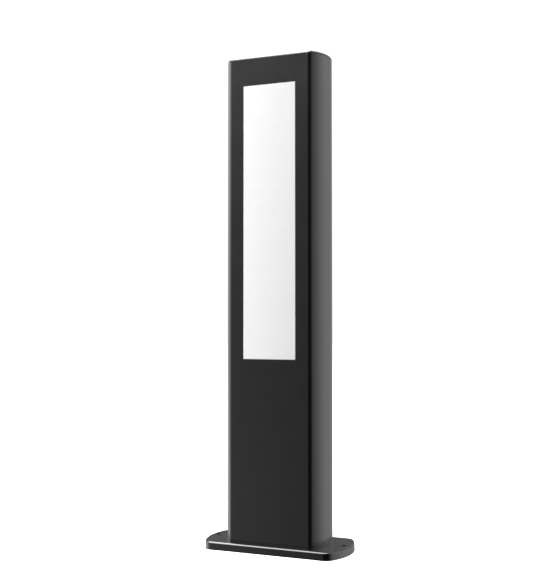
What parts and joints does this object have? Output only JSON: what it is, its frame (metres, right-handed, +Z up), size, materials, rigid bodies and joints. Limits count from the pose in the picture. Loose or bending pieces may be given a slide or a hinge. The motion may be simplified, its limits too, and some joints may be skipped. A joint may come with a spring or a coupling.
{
  "type": "bollard light",
  "caption": "Low outdoor bollard light: barrel-section post with a tall flush opal window, rounded cap and an oblong fixing plate.",
  "frame": {"origin": "centre of the fixing plate, in the plane of its underside", "axes": "+Z up the post; the lit window faces -Y; +X along the length of the plate"},
  "size_m": [0.2, 0.096, 0.65],
  "materials": {
    "powder_coat": "fine-textured graphite powder coat, semi-matt",
    "opal": "satin opal polycarbonate, lit from behind",
    "rubber": "matt black elastomer",
    "stainless": "plain stainless steel",
    "aluminium": "bare rolled aluminium",
    "white_plastic": "matt white moulding",
    "board_white": "white solder mask with pale emitters",
    "grey_plastic": "grey polyamide moulding",
    "orange_plastic": "orange polyamide moulding",
    "black_plastic": "black polyamide moulding",
    "lead_brown": "brown lead insulation",
    "lead_blue": "blue lead insulation",
    "lead_green": "green lead insulation"
  },
  "bodies": {
    "bollard": {"base_casting": "powder_coat", "base_gasket": "rubber", "base_screw_1": "stainless", "base_screw_2": "stainless", "base_screw_3": "stainless", "base_screw_4": "stainless", "board_screw_lower": "stainless", "board_screw_upper": "stainless", "bracket_screw_left": "stainless", "bracket_screw_right": "stainless", "cap_gasket": "rubber", "cap_screw_1": "stainless", "cap_screw_2": "stainless", "cap_screw_3": "stainless", "cap_screw_4": "stainless", "clamp_rail_left": "aluminium", "clamp_rail_right": "aluminium", "clamp_screw_left_1": "stainless", "clamp_screw_left_2": "stainless", "clamp_screw_right_1": "stainless", "clamp_screw_right_2": "stainless", "cover_screw_left_1": "stainless", "cover_screw_left_2": "stainless", "cover_screw_left_3": "stainless", "cover_screw_right_1": "stainless", "cover_screw_right_2": "stainless", "cover_screw_right_3": "stainless", "cover_seal_left": "rubber", "cover_seal_right": "rubber", "diffuser": "opal", "diffuser_gasket": "rubber", "driver_case": "aluminium", "driver_end_lower": "white_plastic", "driver_end_upper": "white_plastic", "driver_screw_lower": "stainless", "driver_screw_upper": "stainless", "earth_screw": "stainless", "earth_tag": "stainless", "gland_body": "black_plastic", "gland_cap": "black_plastic", "gland_locknut": "black_plastic", "gland_seal": "rubber", "lead_earth": "lead_green", "lead_live": "lead_brown", "lead_neutral": "lead_blue", "led_board_lower": "board_white", "led_board_upper": "board_white", "led_cable": "white_plastic", "led_tray": "aluminium", "post_profile": "powder_coat", "rear_cover": "powder_coat", "reflector": "white_plastic", "terminal_block": "grey_plastic", "terminal_bracket": "aluminium", "top_cap": "powder_coat", "tray_screw_1": "stainless", "tray_screw_2": "stainless"},
    "button_1": {"terminal_button_1": "orange_plastic"},
    "button_2": {"terminal_button_2": "orange_plastic"},
    "button_3": {"terminal_button_3": "orange_plastic"}
  },
  "joints": [
    {"name": "button_1_press", "type": "slide", "parent": "bollard", "child": "button_1", "axis": [0, -1, 0], "range_m": [0, 0.0015], "stiffness_N_per_m": 300, "springref_m": -0.001},
    {"name": "button_2_press", "type": "slide", "parent": "bollard", "child": "button_2", "axis": [0, -1, 0], "range_m": [0, 0.0015], "stiffness_N_per_m": 300, "springref_m": -0.001},
    {"name": "button_3_press", "type": "slide", "parent": "bollard", "child": "button_3", "axis": [0, -1, 0], "range_m": [0, 0.0015], "stiffness_N_per_m": 300, "springref_m": -0.001}
  ]
}
